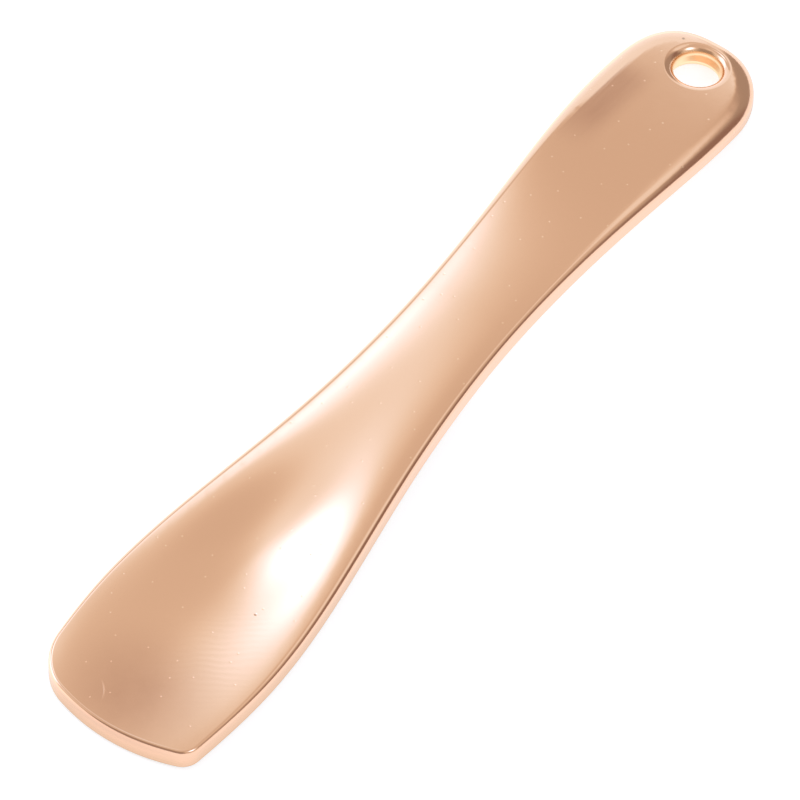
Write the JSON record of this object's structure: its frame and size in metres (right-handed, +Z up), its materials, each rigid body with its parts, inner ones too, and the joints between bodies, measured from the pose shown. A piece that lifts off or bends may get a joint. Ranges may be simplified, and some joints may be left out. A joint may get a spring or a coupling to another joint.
{
  "type": "cosmetic spatula",
  "caption": "Small one-piece polished metal cosmetic spatula with a shallow scoop, a narrow waist, an arched handle and a round hanging hole in its flat head.",
  "frame": {"origin": "on the table under the middle of the piece's bounding box, as it lies on its belly and its head", "axes": "+X from the scoop's tip to the head with the hole, +Y to the left of the scoop, +Z up out of the scoop"},
  "size_m": [0.0622, 0.0122, 0.0033],
  "materials": {
    "plated_metal": "polished"
  },
  "bodies": {
    "root": {"spatula_body": "plated_metal"}
  },
  "joints": []
}
